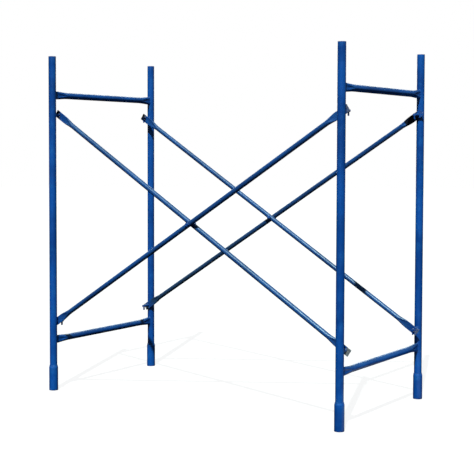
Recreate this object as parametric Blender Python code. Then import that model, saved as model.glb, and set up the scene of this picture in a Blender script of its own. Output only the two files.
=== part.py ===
"""Frame scaffold section: two welded end frames tied together by two pivoted pairs of cross braces.

Each end frame is two upright tubes (standards) and two level tubes (ledgers) with flattened ends.
A socket at the foot of each standard takes the top of the frame below it.  Every standard carries
two slotted studs that point inward.  A flattened brace end hangs on each stud, and a drop lock
pinned in the stud's slot keeps it there.  The two braces of a pair turn on one centre bolt.

Metres, +Z up.  The origin is on the ground, at the middle of the section.  +X runs along the
section from the left frame to the right one, and +Y runs across it from front to back.
"""

import math

import bmesh
import bpy
from mathutils import Matrix, Vector

# Driving dimensions.
HEIGHT = 2.000                  # ground to the top rims of the standards
LENGTH = 1.940                  # between the planes of the two end frames
WIDTH = 0.976                   # between the axes of a frame's two standards
STANDARD_DIAMETER = 0.0445
STANDARD_WALL = 0.0026
SOCKET_DIAMETER = 0.054
SOCKET_LENGTH = 0.150
SOCKET_DEPTH = 0.100            # the open part below the end of the standard
SOCKET_PLAY = 0.00125           # between the socket's wall and the tube it takes
LEDGER_DIAMETER = 0.038
LEDGER_WALL = 0.0023
LEDGER_END_THICKNESS = 0.019    # across the flattened end, where it meets the standard
LEDGER_PINCH = 0.110            # the length over which an end is flattened
UPPER_LEDGER_Z = 1.770
LOWER_LEDGER_Z = 0.305
UPPER_STUD_Z = 1.652
LOWER_STUD_Z = 0.411
STUD_DIAMETER = 0.016
STUD_BOSS_DIAMETER = 0.026
STUD_BOSS_HEIGHT = 0.004
STUD_LENGTH = 0.065             # from the standard's surface to the tip
SLOT_WIDTH = 0.0056
SLOT_DEPTH = 0.0185
LOCK_THICKNESS = 0.005
LOCK_WIDTH = 0.011
LOCK_DROP = 0.028               # from the lock's pivot to its lower end
LOCK_PIVOT_SETBACK = 0.010      # from the stud's tip to the lock's pivot
LOCK_PIN_DIAMETER = 0.0042
BRACE_DIAMETER = 0.029
BRACE_WALL = 0.0022
BRACE_PLANE = 0.047             # from the standards' axes to the plane between a pair's two tubes
BRACE_TIP = 0.028               # beyond the stud hole
BRACE_FLAT = 0.050              # flat length on the tube's side of the stud hole
BRACE_PINCH = 0.075             # the length over which the tube is flattened
BRACE_HOLE_DIAMETER = 0.0175
BOLT_DIAMETER = 0.012
BOLT_HEAD_WIDTH = 0.019         # across the flats
BOLT_HEAD_HEIGHT = 0.0075
BOLT_TAIL = 0.0035              # beyond the nut
NUT_HEIGHT = 0.010
WASHER_DIAMETER = 0.024
WASHER_THICKNESS = 0.0025
SPACER_THICKNESS = 0.0024       # between the two tubes of a brace pair

GAP = 0.0003                    # between faces that touch
CHAMFER = 0.0005
TUBE_SIDES = 32
LEDGER_SIDES = 20
BRACE_SIDES = 20
STUD_SIDES = 20
SMALL_SIDES = 12
PINCH_RINGS = 4

# Values that follow from the driving dimensions.
STANDARD_RADIUS = STANDARD_DIAMETER / 2
SEAT_RADIUS = STANDARD_RADIUS + GAP
STUD_RADIUS = STUD_DIAMETER / 2
STUD_TIP = STANDARD_RADIUS + STUD_LENGTH
LOCK_PIVOT = STUD_TIP - LOCK_PIVOT_SETBACK
BRACE_RISE = UPPER_STUD_Z - LOWER_STUD_Z
BRACE_SPAN = math.hypot(LENGTH, BRACE_RISE)
BRACE_SLOPE = math.atan2(BRACE_RISE, LENGTH)
BRACE_FLAT_THICKNESS = 2 * BRACE_WALL
PIVOT_Z = (UPPER_STUD_Z + LOWER_STUD_Z) / 2
TUBE_OFFSET = BRACE_DIAMETER / 2 + SPACER_THICKNESS / 2 + GAP
BOLT_SEAT = TUBE_OFFSET + BRACE_DIAMETER / 2 + GAP

FRAMES = {"left": -LENGTH / 2, "right": LENGTH / 2}
SIDES = {"front": -1, "back": 1}
LEDGER_LEVELS = {"upper": UPPER_LEDGER_Z, "lower": LOWER_LEDGER_Z}
STUD_LEVELS = {"upper": UPPER_STUD_Z, "lower": LOWER_STUD_Z}


def clear_scene():
    for item in list(bpy.data.objects):
        bpy.data.objects.remove(item, do_unlink=True)


def make_material(name, colour, roughness, metallic):
    material = bpy.data.materials.new(name)
    material.use_nodes = True
    shader = material.node_tree.nodes["Principled BSDF"]
    shader.inputs["Base Color"].default_value = (*colour, 1.0)
    shader.inputs["Roughness"].default_value = roughness
    shader.inputs["Metallic"].default_value = metallic
    return material


def make_materials():
    return {
        "paint": make_material("blue_paint", (0.012, 0.085, 0.36), 0.32, 0.0),
        "zinc": make_material("zinc_plate", (0.55, 0.56, 0.56), 0.38, 1.0),
    }


def finish_mesh(bm, name):
    """Turn a bmesh into a mesh with outward faces, smooth where it is round."""
    bmesh.ops.recalc_face_normals(bm, faces=bm.faces)
    mesh = bpy.data.meshes.new(name)
    bm.to_mesh(mesh)
    bm.free()
    mesh.shade_smooth()
    mesh.set_sharp_from_angle(angle=math.radians(35))
    return mesh


def place(name, mesh, material, location=(0, 0, 0), rotation=(0, 0, 0), parent=None):
    """Put one named object into the scene at a place given in its parent's frame."""
    item = bpy.data.objects.new(name, mesh)
    bpy.context.scene.collection.objects.link(item)
    if not mesh.materials:
        mesh.materials.append(material)
    item.location = location
    item.rotation_euler = rotation
    item.parent = parent
    return item


def loft(bm, rings, close_loop=False):
    """Skin a list of equal rings; either join the last ring to the first or cap both ends."""
    loops = [[bm.verts.new(point) for point in ring] for ring in rings]
    pairs = list(zip(loops, loops[1:]))
    if close_loop:
        pairs.append((loops[-1], loops[0]))
    else:
        bm.faces.new(loops[0])
        bm.faces.new(loops[-1])
    for ring_a, ring_b in pairs:
        for i in range(len(ring_a)):
            j = (i + 1) % len(ring_a)
            bm.faces.new((ring_a[i], ring_a[j], ring_b[j], ring_b[i]))


def circle(radius, height, sides):
    """A level ring of points about the Z axis."""
    turns = [2 * math.pi * (i + 0.5) / sides for i in range(sides)]
    return [Vector((radius * math.cos(t), radius * math.sin(t), height)) for t in turns]


def turned(name, profile, sides, hollow=False, turn=None):
    """A piece turned about Z from (radius, height) pairs; turn re-aims its axis."""
    bm = bmesh.new()
    loft(bm, [circle(radius, height, sides) for radius, height in profile], close_loop=hollow)
    if turn is not None:
        bmesh.ops.transform(bm, matrix=turn, verts=bm.verts)
    return finish_mesh(bm, name)


def stadium(width, thickness, sides):
    """Points (across, through) of a flattened tube's outline: two half circles joined by flats."""
    reach = (width - thickness) / 2
    radius = thickness / 2
    half = sides // 2
    points = []
    for side in (1, -1):
        for i in range(half):
            angle = math.pi * ((i + 0.5) / half - 0.5)
            across = side * (reach + radius * math.cos(angle))
            points.append((across, side * radius * math.sin(angle)))
    return points


def pressed_width(diameter, thickness):
    """Width of a round tube pressed to a thickness, with its outline's length unchanged."""
    return (math.pi * (diameter - thickness)) / 2 + thickness


def ease(t):
    return t * t * (3 - 2 * t)


def cut(name, mesh, cutters):
    """Take cutter meshes out of a mesh and return the result."""
    body = bpy.data.objects.new(name, mesh)
    bpy.context.scene.collection.objects.link(body)
    tools = []
    for cutter_mesh in cutters:
        tool = bpy.data.objects.new(name + "_cutter", cutter_mesh)
        tool.hide_render = True
        tool.display_type = "WIRE"
        bpy.context.scene.collection.objects.link(tool)
        modifier = body.modifiers.new("cut", "BOOLEAN")
        modifier.operation = "DIFFERENCE"
        modifier.solver = "EXACT"
        modifier.object = tool
        tools.append(tool)
    graph = bpy.context.evaluated_depsgraph_get()
    result = bpy.data.meshes.new_from_object(body.evaluated_get(graph))
    for item in (body, *tools):
        bpy.data.objects.remove(item, do_unlink=True)
    result.name = name
    result.shade_smooth()
    result.set_sharp_from_angle(angle=math.radians(35))
    return result


def box_mesh(name, size, centre):
    bm = bmesh.new()
    bmesh.ops.create_cube(bm, size=1.0)
    bmesh.ops.scale(bm, vec=size, verts=bm.verts)
    bmesh.ops.translate(bm, vec=centre, verts=bm.verts)
    return finish_mesh(bm, name)


def rod_mesh(name, radius, length, centre, axis, sides):
    """A plain round bar through a centre point, along X or Y."""
    turn = Matrix.Rotation(math.pi / 2, 4, "Y" if axis == "X" else "X")
    aim = Matrix.Translation(centre) @ turn
    return turned(name, [(radius, -length / 2), (radius, length / 2)], sides, turn=aim)


def standard_mesh():
    """An upright tube, open at both ends, from the socket's seat to the top rim."""
    outer = STANDARD_RADIUS
    inner = STANDARD_RADIUS - STANDARD_WALL
    profile = [
        (outer, SOCKET_DEPTH),
        (outer, HEIGHT - CHAMFER),
        (outer - CHAMFER, HEIGHT),
        (inner, HEIGHT),
        (inner, SOCKET_DEPTH),
    ]
    return turned("standard", profile, TUBE_SIDES, hollow=True)


def socket_mesh():
    """A sleeve round the foot of a standard: a clearance bore below, a close one above."""
    outer = SOCKET_DIAMETER / 2
    bore = STANDARD_RADIUS + SOCKET_PLAY
    shoulder = 0.012
    lip = 0.0012
    profile = [
        (bore + CHAMFER, 0.0),
        (outer - CHAMFER, 0.0),
        (outer, CHAMFER),
        (outer, SOCKET_LENGTH - shoulder),
        (SEAT_RADIUS + lip, SOCKET_LENGTH),
        (SEAT_RADIUS, SOCKET_LENGTH),
        (SEAT_RADIUS, SOCKET_DEPTH),
        (bore, SOCKET_DEPTH),
        (bore, CHAMFER),
    ]
    return turned("socket", profile, TUBE_SIDES, hollow=True)


def pinch_stations(end, length):
    """(distance, pressed) pairs from where a tube's end starts to flatten to where it is flat."""
    steps = [i / PINCH_RINGS for i in range(PINCH_RINGS + 1)]
    return [(end - length * (1 - step), ease(step)) for step in steps]


def pressed_outline(diameter, flat_thickness, pressed, wall, sides):
    """Outline of a tube pressed by a fraction of the way to its flat thickness."""
    thickness = diameter + pressed * (flat_thickness - diameter)
    wide = pressed_width(diameter, thickness)
    return stadium(wide - 2 * wall, thickness - 2 * wall, sides)


def ledger_ring(y, pressed, wall):
    """A ring of the ledger's outer face, or of its bore for a wall over 0."""
    outline = pressed_outline(LEDGER_DIAMETER, LEDGER_END_THICKNESS, pressed, wall, LEDGER_SIDES)
    if pressed < 1:
        return [Vector((x, y, z)) for z, x in outline]
    side = math.copysign(1, y)
    reach = [WIDTH / 2 - math.sqrt(SEAT_RADIUS ** 2 - x ** 2) for z, x in outline]
    return [Vector((x, side * end, z)) for (z, x), end in zip(outline, reach)]


def ledger_mesh():
    """A level tube along Y whose ends are pressed tall and narrow and cut to sit on the standards."""
    half = pinch_stations(WIDTH / 2 - STANDARD_RADIUS, LEDGER_PINCH)
    stations = [(-y, pressed) for y, pressed in reversed(half)] + half
    rings = [ledger_ring(y, pressed, 0.0) for y, pressed in stations]
    rings += [ledger_ring(y, pressed, LEDGER_WALL) for y, pressed in reversed(stations)]
    bm = bmesh.new()
    loft(bm, rings, close_loop=True)
    return finish_mesh(bm, "ledger")


def stud_mesh():
    """A slotted stud along +Y, with a boss cut to sit on the standard's round face."""
    boss = STUD_BOSS_DIAMETER / 2
    boss_top = STANDARD_RADIUS + STUD_BOSS_HEIGHT
    tip_chamfer = 2 * CHAMFER
    profile = [
        (boss, STANDARD_RADIUS / 2),
        (boss, boss_top - CHAMFER),
        (boss - CHAMFER, boss_top),
        (STUD_RADIUS, boss_top),
        (STUD_RADIUS, STUD_TIP - tip_chamfer),
        (STUD_RADIUS - tip_chamfer, STUD_TIP),
    ]
    aim = Matrix.Rotation(-math.pi / 2, 4, "X")
    stud = turned("stud", profile, STUD_SIDES, turn=aim)
    seat_profile = [(SEAT_RADIUS, -STUD_BOSS_DIAMETER), (SEAT_RADIUS, STUD_BOSS_DIAMETER)]
    seat = turned("seat", seat_profile, TUBE_SIDES)
    slot_size = (SLOT_WIDTH, 2 * SLOT_DEPTH, 2 * STUD_DIAMETER)
    slot = box_mesh("slot", slot_size, (0, STUD_TIP, 0))
    pin_radius = LOCK_PIN_DIAMETER / 2 + GAP
    centre = Vector((0, LOCK_PIVOT, 0))
    pin_hole = rod_mesh("pin_hole", pin_radius, 2 * STUD_DIAMETER, centre, "X", SMALL_SIDES)
    return cut("stud", stud, [seat, slot, pin_hole])


def lock_mesh():
    """A drop lock that hangs from its pivot, which is its origin."""
    radius = LOCK_WIDTH / 2
    length = LOCK_DROP + radius
    outline = stadium(length, LOCK_WIDTH, STUD_SIDES)
    middle = radius - length / 2
    bm = bmesh.new()
    rings = []
    for x in (-LOCK_THICKNESS / 2, LOCK_THICKNESS / 2):
        rings.append([Vector((x, across, along + middle)) for along, across in outline])
    loft(bm, rings)
    plate = finish_mesh(bm, "lock")
    hole_radius = LOCK_PIN_DIAMETER / 2 + GAP
    hole = rod_mesh("lock_hole", hole_radius, LOCK_WIDTH, Vector(), "X", SMALL_SIDES)
    return cut("lock", plate, [hole])


def brace_rings(wall):
    """Rings along X of a brace's outer face, or of the hollow inside it for a wall over 0."""
    hole_x = BRACE_SPAN / 2
    half = pinch_stations(hole_x - BRACE_FLAT, BRACE_PINCH)
    if wall > 0:
        half.pop()
    else:
        half.append((hole_x + BRACE_TIP, 1.0))
    rings = []
    for x, pressed in [(-x, pressed) for x, pressed in reversed(half)] + half:
        outline = pressed_outline(BRACE_DIAMETER, BRACE_FLAT_THICKNESS, pressed, wall, BRACE_SIDES)
        rings.append([Vector((x, y, z)) for z, y in outline])
    return rings


def brace_mesh():
    """A tube along X with both ends pressed flat and holed, and a bolt hole at its middle."""
    bm = bmesh.new()
    loft(bm, brace_rings(0.0))
    bar = finish_mesh(bm, "brace")
    bm = bmesh.new()
    loft(bm, brace_rings(BRACE_WALL))
    hollow = finish_mesh(bm, "hollow")
    bolt_radius = BOLT_DIAMETER / 2 + GAP
    bolt_hole = rod_mesh("hole", bolt_radius, 2 * BRACE_DIAMETER, Vector(), "Y", SMALL_SIDES)
    cutters = [hollow, bolt_hole]
    for end in (-1, 1):
        centre = Vector((end * BRACE_SPAN / 2, 0, 0))
        radius = BRACE_HOLE_DIAMETER / 2
        length = 4 * BRACE_FLAT_THICKNESS
        cutters.append(rod_mesh("hole", radius, length, centre, "Y", STUD_SIDES))
    return cut("brace", bar, cutters)


def washer_mesh(name, thickness):
    """A flat ring about the Y axis, with its middle at its origin."""
    bore = BOLT_DIAMETER / 2 + GAP
    half = thickness / 2
    rim = WASHER_DIAMETER / 2
    profile = [(bore, -half), (rim, -half), (rim, half), (bore, half)]
    turn = Matrix.Rotation(math.pi / 2, 4, "X")
    return turned(name, profile, STUD_SIDES, hollow=True, turn=turn)


def hexagon(y):
    """A ring of points round a hexagon about the Y axis, its corners trimmed a little."""
    corner = BOLT_HEAD_WIDTH / math.sqrt(3)
    points = []
    for i in range(STUD_SIDES):
        turn = 2 * math.pi * (i + 0.5) / STUD_SIDES
        from_flat = (turn % (math.pi / 3)) - math.pi / 6
        radius = min(BOLT_HEAD_WIDTH / 2 / math.cos(from_flat), corner * 0.985)
        points.append(Vector((radius * math.sin(turn), y, radius * math.cos(turn))))
    return points


def round_ring(radius, y):
    points = []
    for i in range(STUD_SIDES):
        turn = 2 * math.pi * (i + 0.5) / STUD_SIDES
        points.append(Vector((radius * math.sin(turn), y, radius * math.cos(turn))))
    return points


def bolt_mesh():
    """The centre bolt along +Y, with its hexagon head at -Y of the outer tube."""
    seat = -(BOLT_SEAT + WASHER_THICKNESS + GAP)
    top = seat - BOLT_HEAD_HEIGHT
    tail = -seat + NUT_HEIGHT + BOLT_TAIL
    radius = BOLT_DIAMETER / 2
    crown = 0.93 * BOLT_HEAD_WIDTH / 2
    rings = [
        round_ring(crown, top),
        hexagon(top + 2 * CHAMFER),
        hexagon(seat),
        round_ring(radius, seat),
        round_ring(radius, tail - 2 * CHAMFER),
        round_ring(radius - 2 * CHAMFER, tail),
    ]
    bm = bmesh.new()
    loft(bm, rings)
    return finish_mesh(bm, "bolt")


def nut_mesh():
    """A hexagon nut on the far end of the bolt."""
    low = BOLT_SEAT + WASHER_THICKNESS + GAP
    high = low + NUT_HEIGHT
    bore = BOLT_DIAMETER / 2 + GAP
    crown = 0.93 * BOLT_HEAD_WIDTH / 2
    rings = [
        round_ring(bore, low),
        hexagon(low),
        hexagon(high - 2 * CHAMFER),
        round_ring(crown, high),
        round_ring(bore, high),
    ]
    bm = bmesh.new()
    loft(bm, rings, close_loop=True)
    return finish_mesh(bm, "nut")


def build_frames(materials):
    """The standards, sockets and ledgers of both end frames."""
    standard = standard_mesh()
    socket = socket_mesh()
    ledger = ledger_mesh()
    for frame, x in FRAMES.items():
        for side, sign in SIDES.items():
            spot = (x, sign * WIDTH / 2, 0)
            place(f"{frame}_{side}_standard", standard, materials["paint"], spot)
            place(f"{frame}_{side}_socket", socket, materials["paint"], spot)
        for level, z in LEDGER_LEVELS.items():
            place(f"{frame}_{level}_ledger", ledger, materials["paint"], (x, 0, z))


def build_studs(materials):
    """The eight studs, each with its drop lock and the pin that the lock hangs on."""
    stud = stud_mesh()
    lock = lock_mesh()
    pin_length = STUD_DIAMETER - 2 * GAP
    pin = rod_mesh("lock_pin", LOCK_PIN_DIAMETER / 2, pin_length, Vector(), "X", SMALL_SIDES)
    for frame, x in FRAMES.items():
        for side, sign in SIDES.items():
            facing = (0, 0, 0) if sign < 0 else (0, 0, math.pi)
            for level, z in STUD_LEVELS.items():
                prefix = f"{frame}_{side}_{level}"
                axis_y = sign * WIDTH / 2
                pivot = (x, axis_y - sign * LOCK_PIVOT, z)
                place(f"{prefix}_stud", stud, materials["paint"], (x, axis_y, z), facing)
                place(f"{prefix}_lock", lock, materials["paint"], pivot, facing)
                place(f"{prefix}_lock_pin", pin, materials["zinc"], pivot, facing)


def build_braces(materials):
    """Both cross-brace pairs, each on an empty at the point where its centre bolt crosses."""
    brace = brace_mesh()
    bolt = bolt_mesh()
    nut = nut_mesh()
    washer = washer_mesh("washer", WASHER_THICKNESS)
    spacer = washer_mesh("spacer", SPACER_THICKNESS)
    washer_y = BOLT_SEAT + WASHER_THICKNESS / 2
    for side, sign in SIDES.items():
        centre = bpy.data.objects.new(f"{side}_braces_centre", None)
        bpy.context.scene.collection.objects.link(centre)
        centre.location = (0, sign * (WIDTH / 2 - BRACE_PLANE), PIVOT_Z)
        centre.rotation_euler = (0, 0, 0 if sign < 0 else math.pi)
        slope = sign * BRACE_SLOPE
        paint = materials["paint"]
        outer = (0, -TUBE_OFFSET, 0)
        inner = (0, TUBE_OFFSET, 0)
        place(f"{side}_rising_brace", brace, paint, outer, (0, slope, 0), parent=centre)
        place(f"{side}_falling_brace", brace, paint, inner, (0, -slope, 0), parent=centre)
        place(f"{side}_centre_bolt", bolt, paint, parent=centre)
        place(f"{side}_centre_nut", nut, paint, parent=centre)
        place(f"{side}_centre_spacer", spacer, materials["zinc"], parent=centre)
        place(f"{side}_head_washer", washer, paint, (0, -washer_y, 0), parent=centre)
        place(f"{side}_nut_washer", washer, paint, (0, washer_y, 0), parent=centre)


def main():
    clear_scene()
    materials = make_materials()
    build_frames(materials)
    build_studs(materials)
    build_braces(materials)


main()
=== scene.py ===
"""Looks of a frame scaffold section: two blue end frames tied by two pivoted pairs of cross braces.

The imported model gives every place.  The tubes and fastenings are made again here in the same places
with finer roundness, pressed ends, rolled edges, weld beads and threads.  The drop locks, their pins
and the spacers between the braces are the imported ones, with eased edges and a better material.
"""

import math

import bmesh
import bpy
from mathutils import Matrix, Vector, noise


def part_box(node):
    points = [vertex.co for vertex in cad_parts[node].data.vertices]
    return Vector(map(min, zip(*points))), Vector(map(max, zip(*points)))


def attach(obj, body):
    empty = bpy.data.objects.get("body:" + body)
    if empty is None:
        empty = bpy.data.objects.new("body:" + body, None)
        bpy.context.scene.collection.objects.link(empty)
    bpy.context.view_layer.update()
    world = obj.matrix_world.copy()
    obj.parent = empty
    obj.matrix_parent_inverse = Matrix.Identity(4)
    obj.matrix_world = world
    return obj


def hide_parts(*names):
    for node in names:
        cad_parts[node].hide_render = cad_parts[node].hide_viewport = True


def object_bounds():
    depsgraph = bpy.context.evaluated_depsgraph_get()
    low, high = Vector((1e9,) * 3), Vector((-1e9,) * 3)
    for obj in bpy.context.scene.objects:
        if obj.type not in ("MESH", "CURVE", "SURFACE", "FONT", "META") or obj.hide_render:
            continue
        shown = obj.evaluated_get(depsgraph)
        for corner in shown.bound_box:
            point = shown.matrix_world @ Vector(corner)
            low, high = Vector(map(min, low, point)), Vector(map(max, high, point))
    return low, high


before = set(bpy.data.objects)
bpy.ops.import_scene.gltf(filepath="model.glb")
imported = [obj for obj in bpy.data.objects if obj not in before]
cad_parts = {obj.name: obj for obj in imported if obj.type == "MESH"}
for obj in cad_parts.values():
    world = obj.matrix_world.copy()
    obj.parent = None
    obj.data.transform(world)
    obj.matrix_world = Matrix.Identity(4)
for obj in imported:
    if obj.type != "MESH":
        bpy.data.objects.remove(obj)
cad_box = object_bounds()

# Sizes in metres.
STANDARD_RADIUS = 0.02225
STANDARD_WALL = 0.0026
SOCKET_RADIUS = 0.0268
SOCKET_BORE_RADIUS = 0.0235
SOCKET_DEPTH = 0.100
SOCKET_SHOULDER = 0.012
SOCKET_TOP_WALL = 0.0012
LEDGER_DIAMETER = 0.038
LEDGER_END_THICKNESS = 0.019
LEDGER_PINCH = 0.110
LEDGER_DIMPLE = 0.0026
BRACE_DIAMETER = 0.029
BRACE_WALL = 0.0020
BRACE_FLAT_THICKNESS = 0.0044
BRACE_FLAT = 0.050
BRACE_PINCH = 0.075
BRACE_DIMPLE = 0.0022
BRACE_HOLLOW = 0.0008
BRACE_TIP = 0.028
BRACE_TIP_CORNER = 0.0025
BRACE_SEAM_DEPTH = 0.005
BRACE_HOLE_RADIUS = 0.00875
STUD_RADIUS = 0.008
STUD_BOSS_RADIUS = 0.013
STUD_BOSS_HEIGHT = 0.004
STUD_LENGTH = 0.065
STUD_TIP = STANDARD_RADIUS + STUD_LENGTH
SLOT_WIDTH = 0.0056
SLOT_DEPTH = 0.0185
BOLT_RADIUS = 0.006
BOLT_HEAD_HEIGHT = 0.0075
BOLT_THREAD_PITCH = 0.00175
BOLT_THREAD_DEPTH = 0.0006
BOLT_THREAD_LENGTH = 0.020
BOLT_THREAD_SINK = 0.0002
BOLT_POINT_HEIGHT = 0.0012
BOLT_POINT_RADIUS = BOLT_RADIUS - 0.0016
HEX_ACROSS_FLATS = 0.019
HEX_CROWN_RADIUS = 0.92 * HEX_ACROSS_FLATS / 2
HEX_CHAMFER = math.radians(30)
HEX_SEAT_RADIUS = HEX_ACROSS_FLATS / 2 * 0.98
HEX_SEAT_HEIGHT = 0.0004
HEX_DISH_RIM = 0.86 * HEX_ACROSS_FLATS / 2
HEX_DISH_FLOOR = 0.80 * HEX_ACROSS_FLATS / 2
HEX_DISH_DEPTH = 0.0004
NUT_BORE_CHAMFER = 0.0008
WASHER_RADIUS = 0.012
WASHER_EDGE = 0.0005
SEAT_GAP = 0.0003
ROLLED_EDGE = 0.0008
STUD_EDGE = 0.0005
PRESSED_EDGE = 0.0004
LEDGER_BEAD = 0.0028
STUD_BEAD = 0.0018
SOCKET_BEAD = 0.0020
SOCKET_BEAD_OFFSET = 0.0006
BEAD_RIPPLE = 0.0034
SHARP_ANGLE = math.radians(32)

TUBE_SIDES = 72
STUD_SIDES = 64
THREAD_STEPS = 80
BEAD_SIDES = 10
LEDGER_BEAD_STEPS = 168
STUD_BEAD_STEPS = 96
SOCKET_BEAD_STEPS = 130
PRESS_STEPS = 24
RING_SPACING = 0.040

# How far each brace tip is rubbed down to bare steel, where it is more than on the others.
TIP_WEAR = 0.32
RUBBED_TIPS = {
    "right_front_lower": 0.95,
    "right_front_upper": 0.46,
    "right_back_lower": 0.46,
    "left_back_upper": 0.62,
    "left_back_lower": 0.60,
}

# Painted shadow: where a brace end is painted black to stand for the shadow cast on it: two distances
# from its tip.
SHADOWED_ENDS = {
    "left_front_upper": (-0.010, 0.026),
    "left_back_upper": (-0.010, 0.020),
    "right_back_upper": (0.024, 0.124),
}
UNSHADED = (-1.0, -0.9)
SHADOW_FADE = 0.010
# Stud tips painted black as painted shadow, at the same upper left ends.
SHADOWED_STUDS = ("left_back_upper_stud", "left_front_upper_stud")

# How far old dirt dulls the paint of the braces, and the end where it does so most.
BRACE_SOIL = 0.38
SOILED_ENDS = {"left_back_lower": 0.85}

FRAMES = ("left", "right")
SIDES = {"front": -1, "back": 1}
LEVELS = ("upper", "lower")


# Materials.

class Nodes:
    """Adds nodes to one material and joins them up."""

    def __init__(self, name):
        self.material = bpy.data.materials.new(name)
        self.material.use_nodes = True
        self.tree = self.material.node_tree
        self.tree.nodes.clear()

    def add(self, kind, inputs=None, **settings):
        node = self.tree.nodes.new(kind)
        for key, value in settings.items():
            setattr(node, key, value)
        for key, value in (inputs or {}).items():
            if isinstance(value, bpy.types.NodeSocket):
                self.tree.links.new(value, node.inputs[key])
            else:
                node.inputs[key].default_value = value
        return node

    def noise(self, place, scale, detail=3.0, roughness=0.55):
        inputs = {"Vector": place, "Scale": scale, "Detail": detail, "Roughness": roughness}
        return self.add("ShaderNodeTexNoise", inputs).outputs["Fac"]

    def span(self, value, low, high, to_low=0.0, to_high=1.0):
        """A smooth step of value from low to high, given out from to_low to to_high."""
        inputs = {"Value": value, "From Min": low, "From Max": high}
        inputs.update({"To Min": to_low, "To Max": to_high})
        node = self.add("ShaderNodeMapRange", inputs, interpolation_type="SMOOTHSTEP")
        return node.outputs["Result"]

    def maths(self, operation, first, second=0.0):
        node = self.add("ShaderNodeMath", {0: first, 1: second}, operation=operation)
        return node.outputs["Value"]

    def mix(self, factor, first, second):
        """Two colours mixed; a mix node keeps them in its sockets 6 and 7 and gives out its third."""
        node = self.add("ShaderNodeMix", {0: factor, 6: first, 7: second}, data_type="RGBA")
        return node.outputs[2]

    def stretched(self, place, scale):
        inputs = {"Vector": place, "Scale": scale}
        return self.add("ShaderNodeMapping", inputs).outputs["Vector"]

    def edges(self, reach):
        """1 on edges sharper than reach, 0 on open faces."""
        rounded = self.add("ShaderNodeBevel", {"Radius": reach}, samples=6).outputs["Normal"]
        plain = self.add("ShaderNodeNewGeometry").outputs["Normal"]
        both = {0: rounded, 1: plain}
        match = self.add("ShaderNodeVectorMath", both, operation="DOT_PRODUCT").outputs["Value"]
        return self.span(match, 0.995, 0.86)

    def bump(self, height, distance, normal=None):
        inputs = {"Height": height, "Distance": distance, "Strength": 1.0}
        if normal is not None:
            inputs["Normal"] = normal
        return self.add("ShaderNodeBump", inputs).outputs["Normal"]

    def output(self, shader):
        self.add("ShaderNodeOutputMaterial", {"Surface": shader})
        return self.material


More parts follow.
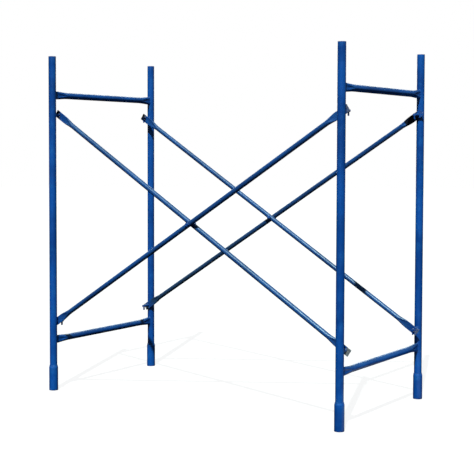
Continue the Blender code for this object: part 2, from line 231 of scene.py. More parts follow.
def blue_paint():
    """Gloss enamel over steel: worn to metal where parts rub, with scratches and rust, dust that also
    paints a sky sheen on upward faces, dirt that also paints shade on the braces' sides and undersides,
    and painted black shadow where it is asked for.
    """
    make = Nodes("blue_paint")
    place = make.add("ShaderNodeTexCoord").outputs["Object"]
    along = make.add("ShaderNodeUVMap", uv_map="surface").outputs["UV"]
    wear = make.add("ShaderNodeAttribute", attribute_name="wear").outputs["Fac"]
    # Painted shadow: how black a point is painted to stand for a cast shadow.
    painted_shadow = make.add("ShaderNodeAttribute", attribute_name="painted_shadow").outputs["Fac"]
    soil = make.add("ShaderNodeAttribute", attribute_name="soil").outputs["Fac"]

    broad = make.noise(place, 4.5, 3.0)
    patches = make.noise(place, 17.0, 4.0)
    mottle = make.noise(place, 110.0, 4.0, 0.65)
    peel = make.noise(place, 520.0, 1.0)
    ripple = make.noise(place, 38.0, 1.0)

    deep = (0.0016, 0.046, 0.245, 1.0)
    fresh = (0.0040, 0.080, 0.375, 1.0)
    chalky = (0.012, 0.135, 0.430, 1.0)
    colour = make.mix(make.span(broad, 0.33, 0.62), deep, fresh)
    colour = make.mix(make.span(patches, 0.50, 0.75, 0.0, 0.45), colour, chalky)
    colour = make.mix(make.span(mottle, 0.40, 0.75, 0.0, 0.35), colour, deep)

    streaks = make.noise(make.stretched(along, (900.0, 5.0, 1.0)), 1.0, 3.0, 0.6)
    scratched = make.maths("MULTIPLY", make.span(streaks, 0.66, 0.72), make.span(patches, 0.42, 0.6))
    colour = make.mix(make.maths("MULTIPLY", scratched, 0.45), colour, (0.10, 0.22, 0.47, 1.0))

    facing = make.add("ShaderNodeNewGeometry").outputs["Normal"]
    upward = make.add("ShaderNodeSeparateXYZ", {"Vector": facing}).outputs["Z"]
    # Dirt on the braces, weakened on upward faces, so that it also paints shade on their sides and
    # undersides.
    soil_and_shade = make.maths("MULTIPLY", soil, make.span(mottle, 0.30, 0.70, 0.80, 1.15))
    soil_and_shade = make.maths("MULTIPLY", soil_and_shade, make.span(upward, 0.20, 0.85, 1.0, 0.55))
    colour = make.mix(soil_and_shade, colour, (0.018, 0.035, 0.045, 1.0))

    # Dust on upward faces; its grey-green tone also paints the sky's sheen on their tops.
    dust_and_sheen = make.span(mottle, 0.30, 0.70, 0.28, 0.50)
    dust_and_sheen = make.maths("MULTIPLY", dust_and_sheen, make.span(upward, 0.10, 0.95))
    colour = make.mix(dust_and_sheen, colour, (0.047, 0.082, 0.060, 1.0))

    edge = make.edges(0.0014)
    grain = make.noise(place, 210.0, 5.0, 0.7)
    rub = make.maths("ADD", wear, make.maths("MULTIPLY", edge, 0.30))
    rub = make.maths("ADD", rub, make.maths("MULTIPLY", make.maths("SUBTRACT", grain, 0.5), 1.5))
    chips = make.span(make.noise(place, 58.0, 4.0, 0.75), 0.715, 0.745, 0.0, 0.60)
    rub = make.maths("ADD", rub, chips)
    bare = make.span(rub, 0.46, 0.52)
    ringed = make.maths("SUBTRACT", make.span(rub, 0.36, 0.46), bare)
    colour = make.mix(make.maths("MULTIPLY", ringed, 0.55), colour, (0.055, 0.045, 0.060, 1.0))

    dull_steel = (0.235, 0.255, 0.275, 1.0)
    bright_steel = (0.42, 0.43, 0.43, 1.0)
    steel_tone = make.mix(make.span(mottle, 0.35, 0.65), dull_steel, bright_steel)
    rusty = make.span(make.noise(place, 75.0, 4.0, 0.7), 0.56, 0.70, 0.0, 0.55)
    steel_tone = make.mix(rusty, steel_tone, (0.155, 0.075, 0.038, 1.0))
    colour = make.mix(bare, colour, steel_tone)
    # Painted shadow: near-black, rougher, with less specular and no coat, where the painted shadow
    # attribute asks for it.
    patchy = make.maths("MULTIPLY", make.maths("SUBTRACT", grain, 0.5), 1.4)
    shadow_black = make.span(make.maths("ADD", painted_shadow, patchy), 0.42, 0.56, 0.0, 0.96)
    colour = make.mix(shadow_black, colour, (0.0045, 0.0045, 0.0085, 1.0))

    gloss = make.span(make.noise(place, 26.0, 3.0), 0.3, 0.7, 0.31, 0.45)
    gloss = make.maths("ADD", gloss, make.maths("MULTIPLY", dust_and_sheen, 0.15))
    gloss = make.maths("ADD", gloss, make.maths("MULTIPLY", bare, 0.16))
    gloss = make.maths("ADD", gloss, make.maths("MULTIPLY", shadow_black, 0.25))
    metal = make.maths("MULTIPLY", bare, make.maths("SUBTRACT", 0.75, rusty))
    metal = make.maths("MULTIPLY", metal, make.maths("SUBTRACT", 1.0, shadow_black))
    coat = make.maths("SUBTRACT", 1.0, make.maths("MAXIMUM", bare, shadow_black))
    coat = make.maths("MULTIPLY", coat, 0.08)

    normal = make.bump(ripple, 0.00020)
    normal = make.bump(peel, 0.000012, normal)
    normal = make.bump(make.maths("SUBTRACT", 1.0, bare), 0.00012, normal)
    normal = make.bump(make.maths("SUBTRACT", 1.0, scratched), 0.00004, normal)

    inputs = {
        "Base Color": colour,
        "Roughness": gloss,
        "Metallic": metal,
        "Normal": normal,
        "Coat Weight": coat,
        "Coat Roughness": 0.32,
        "Specular IOR Level": make.maths("SUBTRACT", 0.45, make.maths("MULTIPLY", shadow_black, 0.38)),
        "Specular Tint": (0.74, 1.0, 0.98, 1.0),
    }
    return make.output(make.add("ShaderNodeBsdfPrincipled", inputs).outputs["BSDF"])


def zinc_plate():
    """Dull zinc plate with fine crystals, brush lines, rubbed edges and a few pale bloom spots."""
    make = Nodes("zinc_plate")
    place = make.add("ShaderNodeTexCoord").outputs["Object"]
    crystal_inputs = {"Vector": place, "Scale": 420.0, "Randomness": 1.0}
    crystal = make.add("ShaderNodeTexVoronoi", crystal_inputs, feature="F1").outputs["Color"]
    shade = make.add("ShaderNodeSeparateColor", {"Color": crystal}).outputs["Red"]
    cloud = make.noise(place, 60.0, 4.0, 0.6)
    fine = make.noise(make.stretched(place, (300.0, 300.0, 2600.0)), 1.0, 2.0)

    colour = make.mix(make.span(shade, 0.0, 1.0), (0.44, 0.46, 0.47, 1.0), (0.60, 0.61, 0.60, 1.0))
    colour = make.mix(make.span(cloud, 0.45, 0.70, 0.0, 0.45), colour, (0.36, 0.36, 0.33, 1.0))
    bloom = make.span(make.noise(place, 150.0, 3.0), 0.66, 0.74, 0.0, 0.7)
    colour = make.mix(bloom, colour, (0.74, 0.75, 0.74, 1.0))
    edge = make.edges(0.0008)
    colour = make.mix(make.maths("MULTIPLY", edge, 0.6), colour, (0.78, 0.78, 0.76, 1.0))

    rough = make.span(cloud, 0.3, 0.7, 0.34, 0.52)
    rough = make.maths("ADD", rough, make.maths("MULTIPLY", bloom, 0.2))
    rough = make.maths("SUBTRACT", rough, make.maths("MULTIPLY", edge, 0.12))
    normal = make.bump(fine, 0.00002)
    normal = make.bump(cloud, 0.00010, normal)
    inputs = {
        "Base Color": colour,
        "Roughness": rough,
        "Metallic": make.maths("SUBTRACT", 1.0, make.maths("MULTIPLY", bloom, 0.5)),
        "Normal": normal,
    }
    return make.output(make.add("ShaderNodeBsdfPrincipled", inputs).outputs["BSDF"])


def pale_floor():
    """A plain near-white floor that shows only the faintest shadows."""
    make = Nodes("pale_floor")
    place = make.add("ShaderNodeTexCoord").outputs["Object"]
    tone = make.mix(make.noise(place, 3.0), (0.11, 0.11, 0.11, 1.0), (0.13, 0.13, 0.13, 1.0))
    inputs = {
        "Base Color": tone,
        "Roughness": 0.9,
        "Specular IOR Level": 0.0,
        "Emission Color": (1.0, 1.0, 1.0, 1.0),
        "Emission Strength": 0.90,
    }
    return make.output(make.add("ShaderNodeBsdfPrincipled", inputs).outputs["BSDF"])


def white_backdrop():
    make = Nodes("white_backdrop")
    inputs = {"Color": (1.0, 1.0, 1.0, 1.0), "Strength": 1.0}
    return make.output(make.add("ShaderNodeEmission", inputs).outputs["Emission"])


MATERIALS = {"blue_paint": blue_paint(), "zinc_plate": zinc_plate()}


# Mesh tools.

def ease(t):
    t = min(max(t, 0.0), 1.0)
    return t * t * (3 - 2 * t)


def middle(node):
    low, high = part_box(node)
    return (low + high) / 2


def finished(bm, name):
    """A mesh with outward faces, smooth where it is round and crisp on its edges."""
    bmesh.ops.recalc_face_normals(bm, faces=bm.faces)
    mesh = bpy.data.meshes.new(name)
    bm.to_mesh(mesh)
    bm.free()
    mesh.shade_smooth()
    mesh.set_sharp_from_angle(angle=SHARP_ANGLE)
    return mesh


def piece(name, mesh, body, slot, replaced=None, wear=None, painted_shadow=None, soil=None):
    """Show a mesh as a piece of a body; the rules give how rubbed a point is, how black it is painted
    as painted shadow, and how soiled it is.
    """
    item = bpy.data.objects.new(name, mesh)
    bpy.context.scene.collection.objects.link(item)
    mesh.materials.clear()
    mesh.materials.append(MATERIALS[slot])
    for kind, rule in (("wear", wear), ("painted_shadow", painted_shadow), ("soil", soil)):
        layer = mesh.attributes.new(kind, "FLOAT", "POINT")
        if rule is not None:
            layer.data.foreach_set("value", [rule(vertex.co) for vertex in mesh.vertices])
    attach(item, body)
    if replaced is not None:
        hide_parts(replaced)
    return item


def skin(bm, rings, girth, close_loop=False):
    """Join equal rings into a skin; its UVs are metres round the tube and metres along it."""
    surface = bm.loops.layers.uv.get("surface") or bm.loops.layers.uv.new("surface")
    loops = [[bm.verts.new(point) for point in ring] for ring in rings]
    count = len(rings[0])
    along = [0.0]
    for ring, following in zip(rings, rings[1:]):
        along.append(along[-1] + (following[0] - ring[0]).length)
    pairs = [(i, i + 1) for i in range(len(rings) - 1)]
    if close_loop:
        pairs.append((len(rings) - 1, 0))
    else:
        bm.faces.new(loops[0])
        bm.faces.new(loops[-1])
    for a, b in pairs:
        for i in range(count):
            j = (i + 1) % count
            face = bm.faces.new((loops[a][i], loops[a][j], loops[b][j], loops[b][i]))
            around = (i * girth / count, (i + 1) * girth / count)
            corners = ((0, a), (1, a), (1, b), (0, b))
            for loop, (turn, station) in zip(face.loops, corners):
                loop[surface].uv = (around[turn], along[station])


def rounded(profile, reach, steps=3, closed=True):
    """A profile with its corners rounded off; an open one keeps its first and last points."""
    points = [Vector(point) for point in profile]
    result = []
    for i, corner in enumerate(points):
        if not closed and i in (0, len(points) - 1):
            result.append(corner)
            continue
        before = points[i - 1] - corner
        after = points[(i + 1) % len(points)] - corner
        start = corner + before.normalized() * min(reach, 0.45 * before.length)
        end = corner + after.normalized() * min(reach, 0.45 * after.length)
        for step in range(steps + 1):
            t = step / steps
            result.append(start * (1 - t) ** 2 + corner * (2 * t * (1 - t)) + end * t ** 2)
    return result


def divided(profile, longest, closed=True):
    """A profile with points added so that no stretch is over a length."""
    result = []
    ends = profile[1:] + profile[:1] if closed else profile[1:]
    for start, end in zip(profile, ends):
        parts = max(1, math.ceil((end - start).length / longest))
        result += [start.lerp(end, i / parts) for i in range(parts)]
    if not closed:
        result.append(profile[-1])
    return result


def circle(radius, height, sides):
    turns = [2 * math.pi * (i + 0.5) / sides for i in range(sides)]
    return [Vector((radius * math.cos(t), radius * math.sin(t), height)) for t in turns]


def turned(name, profile, aim, closed=True, sides=TUBE_SIDES):
    """A piece turned about Z from (radius, height) points and moved by a matrix."""
    bm = bmesh.new()
    girth = 2 * math.pi * max(radius for radius, height in profile)
    rings = [circle(radius, height, sides) for radius, height in profile]
    skin(bm, rings, girth, close_loop=closed)
    bmesh.ops.transform(bm, matrix=aim, verts=bm.verts)
    return finished(bm, name)


def pressed_outline(diameter, thickness, dimple, sides):
    """(across, through) points spaced evenly round a tube that is pressed to a thickness."""
    radius = thickness / 2
    flat = math.pi * (diameter - thickness) / 2
    arc = math.pi * radius
    half_girth = flat + arc
    points = []
    for i in range(sides):
        distance = 2 * half_girth * (i + 0.5) / sides
        side = 1 if distance < half_girth else -1
        distance = distance % half_girth
        if distance < flat:
            across = distance - flat / 2
            hollow = dimple * math.cos(math.pi * across / flat)
            points.append((side * across, side * (radius - hollow)))
        else:
            turn = (distance - flat) / radius
            across = flat / 2 + radius * math.sin(turn)
            points.append((side * across, side * radius * math.cos(turn)))
    return points


def cut(name, mesh, cutters):
    """Take cutter meshes out of a mesh."""
    body = bpy.data.objects.new(name, mesh)
    bpy.context.scene.collection.objects.link(body)
    tools = []
    for cutter in cutters:
        tool = bpy.data.objects.new(name + "_cutter", cutter)
        bpy.context.scene.collection.objects.link(tool)
        modifier = body.modifiers.new("cut", "BOOLEAN")
        modifier.operation = "DIFFERENCE"
        modifier.solver = "EXACT"
        modifier.object = tool
        tools.append(tool)
    graph = bpy.context.evaluated_depsgraph_get()
    result = bpy.data.meshes.new_from_object(body.evaluated_get(graph))
    for item in (body, *tools):
        bpy.data.objects.remove(item, do_unlink=True)
    result.shade_smooth()
    result.set_sharp_from_angle(angle=SHARP_ANGLE)
    return result


def eased_edges(item, width):
    """Round a piece's sharp edges with a small bevel."""
    bevel = item.modifiers.new("eased_edges", "BEVEL")
    bevel.width = width
    bevel.segments = 2
    bevel.limit_method = "ANGLE"
    bevel.angle_limit = math.radians(40)
    bevel.use_clamp_overlap = True
    return item


# End frames.

def add_standard(name):
    """An upright tube, open at the top, with a rolled rim and paint rubbed off round it."""
    low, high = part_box(name)
    spot = Vector(((low.x + high.x) / 2, (low.y + high.y) / 2, 0))
    bore = STANDARD_RADIUS - STANDARD_WALL
    outline = [(STANDARD_RADIUS, low.z), (STANDARD_RADIUS, high.z), (bore, high.z), (bore, low.z)]
    profile = divided(rounded(outline, ROLLED_EDGE), RING_SPACING)
    mesh = turned(name, profile, Matrix.Translation(spot))

    def wear(point):
        rim = 0.28 * ease((point.z - high.z + 0.050) / 0.050)
        foot = 0.16 * ease((low.z + 0.130 - point.z) / 0.080)
        inside = 0.22 if (point - spot).xy.length < bore + ROLLED_EDGE / 2 else 0.0
        return max(rim, foot, inside)

    piece("shown_" + name, mesh, "frames", "blue_paint", name, wear)
    return spot


def add_socket(name, spot):
    """A sleeve round the foot of a standard, with a tapered shoulder and a rolled lower lip."""
    low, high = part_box(name)
    seat = STANDARD_RADIUS + SEAT_GAP
    outline = [
        (SOCKET_BORE_RADIUS, low.z),
        (SOCKET_RADIUS, low.z),
        (SOCKET_RADIUS, high.z - SOCKET_SHOULDER),
        (seat + SOCKET_TOP_WALL, high.z),
        (seat, high.z),
        (seat, SOCKET_DEPTH),
        (SOCKET_BORE_RADIUS, SOCKET_DEPTH),
    ]
    profile = divided(rounded(outline, ROLLED_EDGE), RING_SPACING / 2)
    mesh = turned(name, profile, Matrix.Translation(spot))

    def wear(point):
        lip = 0.34 * ease((0.022 - point.z) / 0.022)
        shoulder = 0.12 * ease((point.z - high.z + 0.03) / 0.02)
        return max(lip, shoulder, 0.05)

    piece("shown_" + name, mesh, "frames", "blue_paint", name, wear)


def add_ledger(name, front_y, back_y):
    """A level tube along Y whose ends are pressed tall and narrow against the standards."""
    centre = middle(name)
    seat = STANDARD_RADIUS + SEAT_GAP
    reach = (back_y - front_y) / 2 - STANDARD_RADIUS
    presses = [i / PRESS_STEPS for i in range(PRESS_STEPS + 1)]
    half = [(reach - LEDGER_PINCH * (1 - step), ease(step)) for step in presses]
    level = half[0][0]
    stretch = [(level * i / 12, 0.0) for i in range(-11, 12)]
    stations = [(-y, pressed) for y, pressed in reversed(half)] + stretch + half
    rings = []
    for y, pressed in stations:
        thickness = LEDGER_DIAMETER + pressed * (LEDGER_END_THICKNESS - LEDGER_DIAMETER)
        dimple = LEDGER_DIMPLE * math.sin(math.pi * min(pressed, 0.85))
        outline = pressed_outline(LEDGER_DIAMETER, thickness, dimple, TUBE_SIDES)
        ring = []
        for z, x in outline:
            along = y
            if pressed == 1.0:
                curve = (back_y - front_y) / 2 - math.sqrt(seat ** 2 - x ** 2)
                along = math.copysign(curve, y)
            ring.append(centre + Vector((x, along, z)))
        rings.append(ring)
    bm = bmesh.new()
    skin(bm, rings, math.pi * LEDGER_DIAMETER)
    mesh = finished(bm, name)

    def wear(point):
        top = ease((point.z - centre.z) / LEDGER_DIAMETER * 2)
        return 0.10 + 0.10 * top * ease(1.2 - abs(point.y - centre.y) / 0.25)

    piece("shown_" + name, mesh, "frames", "blue_paint", name, wear)
    return centre


def add_bead(name, path, radius, seed):
    """A weld bead along a closed path: a rope of overlapping ripples; the seed varies its swell."""
    count = len(path)
    centre = sum(path, Vector()) / count
    rings = []
    travelled = 0.0
    for i, point in enumerate(path):
        ahead = path[(i + 1) % count] - path[i - 1]
        out = point - centre
        side = ahead.cross(out).normalized()
        up = side.cross(ahead).normalized()
        travelled += ahead.length / 2
        wobble = noise.noise(Vector((travelled * 120, seed, 0.0)))
        ripple = 0.5 + 0.5 * math.cos(2 * math.pi * travelled / BEAD_RIPPLE)
        swell = radius * (1.0 + 0.22 * wobble - 0.16 * ripple ** 2)
        ring = []
        for j in range(BEAD_SIDES):
            turn = 2 * math.pi * j / BEAD_SIDES
            ring.append(point + swell * (math.cos(turn) * up + math.sin(turn) * side))
        rings.append(ring)
    bm = bmesh.new()
    skin(bm, rings, 2 * math.pi * radius, close_loop=True)
    piece(name, finished(bm, name), "frames", "blue_paint")


def ledger_bead_path(centre, standard_y, side):
    """Where a ledger's pressed end meets the standard's round face."""
    path = []
    outline = pressed_outline(LEDGER_DIAMETER, LEDGER_END_THICKNESS, 0.0, LEDGER_BEAD_STEPS)
    for z, x in outline:
        y = standard_y - side * math.sqrt(STANDARD_RADIUS ** 2 - x ** 2)
        path.append(Vector((centre.x + x, y, centre.z + z)))
    return path


def stud_bead_path(root, side):
    """Where a stud's boss meets the standard's round face."""
    path = []
    for i in range(STUD_BEAD_STEPS):
        turn = 2 * math.pi * i / STUD_BEAD_STEPS
        x = STUD_BOSS_RADIUS * math.cos(turn)
        y = root.y - side * math.sqrt(STANDARD_RADIUS ** 2 - x ** 2)
        path.append(Vector((root.x + x, y, root.z + STUD_BOSS_RADIUS * math.sin(turn))))
    return path


def add_stud(name, root, side):
    """A slotted stud that points inward from its standard."""
    boss_top = STANDARD_RADIUS + STUD_BOSS_HEIGHT
    outline = [
        (STUD_BOSS_RADIUS, STANDARD_RADIUS / 2),
        (STUD_BOSS_RADIUS, boss_top),
        (STUD_RADIUS, boss_top),
        (STUD_RADIUS, STUD_TIP),
        (STUD_RADIUS / 2, STUD_TIP),
    ]
    profile = rounded(outline, ROLLED_EDGE, closed=False)
    aim = Matrix.Translation(root) @ Matrix.Rotation(side * math.pi / 2, 4, "X")
    stud = turned(name, profile, aim, closed=False, sides=STUD_SIDES)
    seat = turned("seat", [(STANDARD_RADIUS, -0.03), (STANDARD_RADIUS, 0.03)],
                  Matrix.Translation(root), closed=False)
    slot = bmesh.new()
    bmesh.ops.create_cube(slot, size=1.0)
    bmesh.ops.scale(slot, vec=(SLOT_WIDTH, 2 * SLOT_DEPTH, 4 * STUD_RADIUS), verts=slot.verts)
    spot = root - Vector((0, side * STUD_TIP, 0))
    bmesh.ops.translate(slot, vec=spot, verts=slot.verts)
    mesh = cut(name, stud, [seat, finished(slot, "slot")])

    def wear(point):
        return 0.05 + 0.20 * ease((abs(point.y - root.y) - boss_top) / STUD_RADIUS)

    # Painted shadow: the outer 25 mm of the listed studs is painted black.
    def painted_shadow(point):
        out = abs(point.y - root.y) - STUD_TIP + 0.025
        return ease(out / SHADOW_FADE) if name in SHADOWED_STUDS else 0.0

    item = piece("shown_" + name, mesh, "frames", "blue_paint", name, wear, painted_shadow)
    eased_edges(item, STUD_EDGE)


def add_end_frames():
    for frame_name in FRAMES:
        spots = {}
        for side_name, side in SIDES.items():
            prefix = f"{frame_name}_{side_name}"
            spot = add_standard(f"{prefix}_standard")
            spots[side_name] = spot
            add_socket(f"{prefix}_socket", spot)
            shoulder_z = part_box(f"{prefix}_socket")[1].z
            seat_ring = circle(STANDARD_RADIUS + SOCKET_BEAD_OFFSET, shoulder_z, SOCKET_BEAD_STEPS)
            path = [spot + point for point in seat_ring]
            add_bead(f"{prefix}_socket_weld", path, SOCKET_BEAD, spot.x + spot.y)
            for level in LEVELS:
                stud = f"{prefix}_{level}_stud"
                root = Vector((spot.x, spot.y, middle(stud).z))
                add_stud(stud, root, side)
                path = stud_bead_path(root, side)
                add_bead(f"{stud}_weld", path, STUD_BEAD, root.z + spot.x)
        for level in LEVELS:
            ledger = f"{frame_name}_{level}_ledger"
            centre = add_ledger(ledger, spots["front"].y, spots["back"].y)
            for side_name, side in SIDES.items():
                path = ledger_bead_path(centre, spots[side_name].y, side)
                add_bead(f"{ledger}_{side_name}_weld", path, LEDGER_BEAD, centre.z + side)


# Cross braces.

def brace_stations(span):
    """(distance along, pressed, narrowing) from one tip of a brace to the other."""
    hole = span / 2
    pinch_end = hole - BRACE_FLAT
    half = []
    for i in range(PRESS_STEPS + 1):
        step = i / PRESS_STEPS
        half.append((pinch_end - BRACE_PINCH * (1 - step), ease(step), 0.0))
    half += [(pinch_end + (BRACE_FLAT + BRACE_TIP - BRACE_TIP_CORNER) * i / 10, 1.0, 0.0)
             for i in range(1, 11)]
    for i in range(1, 7):
        turn = math.pi / 2 * i / 6
        tip = hole + BRACE_TIP - BRACE_TIP_CORNER * (1 - math.sin(turn))
        half.append((tip, 1.0, BRACE_TIP_CORNER * (1 - math.cos(turn))))
    level = half[0][0]
    parts = math.ceil(level / RING_SPACING)
    stretch = [(level * i / parts, 0.0, 0.0) for i in range(1 - parts, parts)]
    return [(-x, pressed, less) for x, pressed, less in reversed(half)] + stretch + half


def brace_ring(x, pressed, less, wall=0.0):
    """A ring of points round a brace at a distance along it."""
    thickness = BRACE_DIAMETER + pressed * (BRACE_FLAT_THICKNESS - BRACE_DIAMETER)
    dimple = BRACE_DIMPLE * math.sin(math.pi * pressed) + BRACE_HOLLOW * pressed
    outline = pressed_outline(BRACE_DIAMETER, thickness, dimple, TUBE_SIDES)
    width = max(across for across, through in outline)
    height = max(through for across, through in outline)
    narrow = (width - less - wall) / width
    thin = (height - wall) / height
    return [Vector((x, through * thin, across * narrow)) for across, through in outline]


def add_brace(name, body, start_name, end_name):
    """A round tube pressed flat and holed where it hangs on two studs, its tips rubbed bare."""
    start = middle(f"{start_name}_stud")
    end = middle(f"{end_name}_stud")
    tip_wear = [RUBBED_TIPS.get(spot, TIP_WEAR) for spot in (start_name, end_name)]
    shadowed_spans = [SHADOWED_ENDS.get(spot, UNSHADED) for spot in (start_name, end_name)]
    start_soil, end_soil = [SOILED_ENDS.get(spot, BRACE_SOIL) for spot in (start_name, end_name)]
    centre = (start + end) / 2
    centre.y = middle(name).y
    span = (end - start).xz.length
    slope = math.atan2(end.z - start.z, end.x - start.x)
    aim = Matrix.Translation(centre) @ Matrix.Rotation(-slope, 4, "Y")
    stations = brace_stations(span)
    rings = [brace_ring(*station) for station in stations]
    tip, pressed, less = stations[-1]
    seam = brace_ring(tip, pressed, less, BRACE_WALL)
    depth = Vector((BRACE_SEAM_DEPTH, 0, 0))
    rings += [seam, [point - depth for point in seam]]
    near_seam = [Vector((-tip, point.y, point.z)) for point in seam]
    rings = [[point + depth for point in near_seam], near_seam] + rings
    bm = bmesh.new()
    skin(bm, rings, math.pi * BRACE_DIAMETER)
    bmesh.ops.transform(bm, matrix=aim, verts=bm.verts)
    bar = finished(bm, name)
    holes = []
    for end_sign in (-1, 1):
        spot = aim @ Matrix.Translation((end_sign * span / 2, 0, 0))
        turn = spot @ Matrix.Rotation(math.pi / 2, 4, "X")
        ends = [(BRACE_HOLE_RADIUS, -0.01), (BRACE_HOLE_RADIUS, 0.01)]
        holes.append(turned("hole", ends, turn, closed=False, sides=STUD_SIDES))
    mesh = cut(name, bar, holes)
    back = aim.inverted()

    def wear(point):
        along = (back @ point).x
        x = abs(along)
        at_tip = tip_wear[along > 0] * ease((x - span / 2 + 0.020) / 0.040)
        along_flat = 0.20 * ease((x - span / 2 + BRACE_FLAT + 0.02) / 0.04)
        at_bolt = 0.30 * ease((0.030 - x) / 0.018)
        return max(at_tip, along_flat, at_bolt, 0.06)

    # Painted shadow: black between two distances from a listed brace tip.
    def painted_shadow(point):
        along = (back @ point).x
        from_tip = span / 2 + BRACE_TIP - abs(along)
        near, far = shadowed_spans[along > 0]
        return ease((from_tip - near) / SHADOW_FADE) * ease((far - from_tip) / SHADOW_FADE)

    def soil(point):
        along = (back @ point).x
        share = start_soil + (end_soil - start_soil) * ease(along / span + 0.5)
        from_hole = span / 2 - abs(along)
        return share * (0.35 + 0.65 * ease(from_hole / BRACE_PINCH))

    item = piece("shown_" + name, mesh, body, "blue_paint", name, wear, painted_shadow, soil)
    eased_edges(item, PRESSED_EDGE)


def facing_out(node, side):
    """A matrix that puts a piece turned about Z at a node's middle, its top facing outward."""
    return Matrix.Translation(middle(node)) @ Matrix.Rotation(-side * math.pi / 2, 4, "X")


def half_length(node):
    low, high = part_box(node)
    return (high.y - low.y) / 2


def add_washer(name, body, side):
    half = half_length(name)
    bore = BOLT_RADIUS + SEAT_GAP
    outline = [(bore, -half), (WASHER_RADIUS, -half), (WASHER_RADIUS, half), (bore, half)]
    mesh = turned(name, rounded(outline, WASHER_EDGE), facing_out(name, side))
    piece("shown_" + name, mesh, body, "blue_paint", name, lambda point: 0.18)


def hex_ring(height, limit):
    """A ring of a hexagon, kept inside a round limit, as a turned chamfer leaves it."""
    points = []
    for i in range(TUBE_SIDES):
        turn = 2 * math.pi * i / TUBE_SIDES
        from_flat = turn % (math.pi / 3) - math.pi / 6
        radius = min(HEX_ACROSS_FLATS / 2 / math.cos(from_flat), limit)
        points.append(Vector((radius * math.cos(turn), radius * math.sin(turn), height)))
    return points


def plain_ring(height, radius):
    turns = [2 * math.pi * i / TUBE_SIDES for i in range(TUBE_SIDES)]
    return [Vector((radius * math.cos(t), radius * math.sin(t), height)) for t in turns]


def chamfered(height, way):
    """Rings of a hexagon's chamfered end, from its full corners to its round crown."""
    corner = HEX_ACROSS_FLATS / math.sqrt(3)
    crown = HEX_CROWN_RADIUS
    fall = (corner - crown) * math.tan(HEX_CHAMFER)
    rings = []
    for i in range(7):
        step = i / 6
        limit = corner + (crown - corner) * step
        rings.append(hex_ring(height - way * fall * (1 - step), limit))
    return rings


def thread_ring(height, foot):
    """A ring across a screw thread: its radius follows the helix round the bolt."""
    points = []
    for i in range(TUBE_SIDES):
        turn = 2 * math.pi * i / TUBE_SIDES
        climb = ((height - foot) / BOLT_THREAD_PITCH + i / TUBE_SIDES) % 1.0
        depth = BOLT_THREAD_DEPTH * (1 - abs(2 * climb - 1))
        radius = BOLT_RADIUS - BOLT_THREAD_SINK - depth
        points.append(Vector((radius * math.cos(turn), radius * math.sin(turn), height)))
    return points


def add_centre_bolt(name, body, side):
    """The hexagon bolt that a brace pair turns on, threaded at its tail."""
    half = half_length(name)
    seat = half - BOLT_HEAD_HEIGHT
    thread_top = -half + BOLT_THREAD_LENGTH
    rings = [plain_ring(-half, BOLT_POINT_RADIUS)]
    for i in range(THREAD_STEPS + 1):
        climb = (thread_top + half - BOLT_POINT_HEIGHT) * i / THREAD_STEPS
        rings.append(thread_ring(-half + BOLT_POINT_HEIGHT + climb, -half))
    rings.append(plain_ring(thread_top + 0.001, BOLT_RADIUS))
    rings.append(plain_ring(seat, BOLT_RADIUS))
    rings.append(hex_ring(seat, HEX_SEAT_RADIUS))
    rings.append(hex_ring(seat + HEX_SEAT_HEIGHT, HEX_SEAT_RADIUS))
    rings.append(hex_ring(seat + 0.0005, HEX_ACROSS_FLATS))
    rings += chamfered(half, 1)
    rings.append(plain_ring(half, HEX_DISH_RIM))
    rings.append(plain_ring(half - HEX_DISH_DEPTH, HEX_DISH_FLOOR))
    bm = bmesh.new()
    skin(bm, rings, 2 * math.pi * BOLT_RADIUS)
    bmesh.ops.transform(bm, matrix=facing_out(name, side), verts=bm.verts)
    piece("shown_" + name, finished(bm, name), body, "blue_paint", name, lambda point: 0.16)


def add_centre_nut(name, body, side):
    half = half_length(name)
    bore = BOLT_RADIUS + SEAT_GAP
    rings = [plain_ring(-half, bore)]
    rings += list(reversed(chamfered(-half, -1)))
    rings += chamfered(half, 1)
    rings.append(plain_ring(half, bore + NUT_BORE_CHAMFER))
    rings.append(plain_ring(half - NUT_BORE_CHAMFER, bore))
    bm = bmesh.new()
    skin(bm, rings, 2 * math.pi * BOLT_RADIUS, close_loop=True)
    bmesh.ops.transform(bm, matrix=facing_out(name, side), verts=bm.verts)
    piece("shown_" + name, finished(bm, name), body, "blue_paint", name, lambda point: 0.18)


def add_braces():
    for side_name, side in SIDES.items():
        body = f"{side_name}_braces"
        left = f"left_{side_name}"
        right = f"right_{side_name}"
        add_brace(f"{side_name}_rising_brace", body, f"{left}_lower", f"{right}_upper")
        add_brace(f"{side_name}_falling_brace", body, f"{left}_upper", f"{right}_lower")
        add_centre_bolt(f"{side_name}_centre_bolt", body, side)
        add_centre_nut(f"{side_name}_centre_nut", body, side)
        add_washer(f"{side_name}_head_washer", body, side)
        add_washer(f"{side_name}_nut_washer", body, side)


def dress_packed_fittings():
    """Ease the edges of the drop locks, their pins and the spacers; paint the locks, plate the rest."""
    looks = {f"{side_name}_centre_spacer": "zinc_plate" for side_name in SIDES}
    for frame_name in FRAMES:
        for side_name in SIDES:
            for level in LEVELS:
                prefix = f"{frame_name}_{side_name}_{level}"
                looks[f"{prefix}_lock"] = "blue_paint"
                looks[f"{prefix}_lock_pin"] = "zinc_plate"
    for name, look in looks.items():
        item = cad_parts[name]
        for socket in item.material_slots:
            socket.material = MATERIALS[look]
        eased_edges(item, PRESSED_EDGE)


# Stage, light and camera.

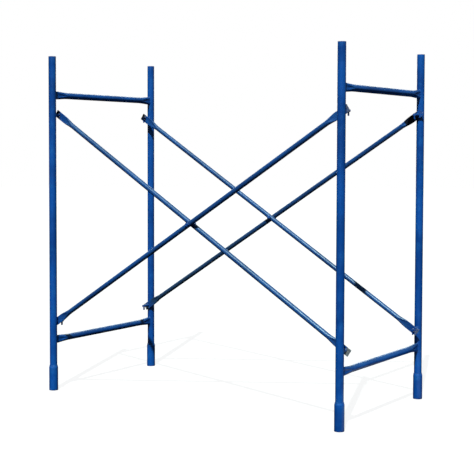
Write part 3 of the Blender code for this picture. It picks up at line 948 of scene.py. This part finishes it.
CAMERA_PLACE = (3.829, -5.921, 1.449)
CAMERA_DOWN = 2.79
CAMERA_ROLL = -0.17
CAMERA_LEFT = 32.57
CAMERA_LENS = 91.0
CAMERA_SHIFT = (-0.0066, -0.0610)
BOUNCE_WIDTH = 0.9
BOUNCE_POWER = 1.7
BOUNCE_RISE = 0.002
STAGE_RADIUS = 40.0
SKY_BELOW = (0.006, 0.008, 0.010, 1.0)
SKY_ABOVE = (0.10, 0.15, 0.165, 1.0)


def add_stage():
    """A pale floor in a white surround; both are seen but throw no light on the object."""
    bm = bmesh.new()
    bmesh.ops.create_circle(bm, cap_ends=True, radius=STAGE_RADIUS, segments=64)
    floor = bpy.data.objects.new("floor", finished(bm, "floor"))
    floor.data.materials.append(pale_floor())
    bm = bmesh.new()
    bmesh.ops.create_uvsphere(bm, u_segments=48, v_segments=24, radius=STAGE_RADIUS - 1.0)
    backdrop = bpy.data.objects.new("backdrop", finished(bm, "backdrop"))
    backdrop.data.materials.append(white_backdrop())
    backdrop.visible_shadow = False
    for item in (floor, backdrop):
        bpy.context.scene.collection.objects.link(item)
        item.visible_diffuse = False
        item.visible_glossy = False


def add_lamp(name, strength, spread, colour, towards_lamp):
    """A distant lamp of a spread in degrees, in the direction given."""
    light = bpy.data.lights.new(name, "SUN")
    light.energy = strength
    light.angle = math.radians(spread)
    light.color = colour
    lamp = bpy.data.objects.new(name, light)
    lamp.rotation_euler = Vector(towards_lamp).to_track_quat("Z", "Y").to_euler()
    bpy.context.scene.collection.objects.link(lamp)


def add_light():
    """A dim sky, a key lamp from the upper right, a fill behind, and light off the floor."""
    world = bpy.data.worlds.new("sky")
    bpy.context.scene.world = world
    world.use_nodes = True
    tree = world.node_tree
    place = tree.nodes.new("ShaderNodeTexCoord")
    parts = tree.nodes.new("ShaderNodeSeparateXYZ")
    ramp = tree.nodes.new("ShaderNodeValToRGB")
    rise = tree.nodes.new("ShaderNodeMapRange")
    rise.inputs["From Min"].default_value = -1.0
    tree.links.new(place.outputs["Generated"], parts.inputs["Vector"])
    tree.links.new(parts.outputs["Z"], rise.inputs["Value"])
    tree.links.new(rise.outputs["Result"], ramp.inputs["Fac"])
    tree.links.new(ramp.outputs["Color"], tree.nodes["Background"].inputs["Color"])
    stops = ramp.color_ramp.elements
    stops[0].position = 0.46
    stops[0].color = SKY_BELOW
    stops[1].position = 0.54
    stops[1].color = SKY_ABOVE
    add_lamp("key", strength=4.9, spread=0.7, colour=(0.88, 1.0, 0.97),
             towards_lamp=(0.2225, -0.563, 0.798))
    add_lamp("fill", strength=1.3, spread=40.0, colour=(0.9, 1.0, 1.0),
             towards_lamp=(-0.53, 0.80, 0.28))
    low, high = cad_box
    panel = bpy.data.lights.new("floor_bounce", "AREA")
    panel.shape = "RECTANGLE"
    panel.size = BOUNCE_WIDTH
    panel.size_y = high.y - low.y
    panel.energy = BOUNCE_POWER
    bounce = bpy.data.objects.new("floor_bounce", panel)
    bounce.location = (high.x + BOUNCE_WIDTH / 2, (low.y + high.y) / 2, low.z + BOUNCE_RISE)
    bounce.rotation_euler = (math.pi, 0.0, 0.0)
    bounce.visible_camera = False
    bpy.context.scene.collection.objects.link(bounce)


def add_camera():
    """The camera stands at the photographer's place, beyond the front right corner."""
    data = bpy.data.cameras.new("camera")
    data.lens = CAMERA_LENS
    data.sensor_width = 36.0
    data.shift_x, data.shift_y = CAMERA_SHIFT
    data.clip_end = 100.0
    camera = bpy.data.objects.new("camera", data)
    camera.location = CAMERA_PLACE
    turns = (90.0 - CAMERA_DOWN, CAMERA_ROLL, CAMERA_LEFT)
    camera.rotation_euler = [math.radians(turn) for turn in turns]
    bpy.context.scene.collection.objects.link(camera)
    bpy.context.scene.camera = camera


add_end_frames()
add_braces()
dress_packed_fittings()
add_stage()
add_light()
add_camera()
bpy.context.scene.view_settings.view_transform = "Standard"
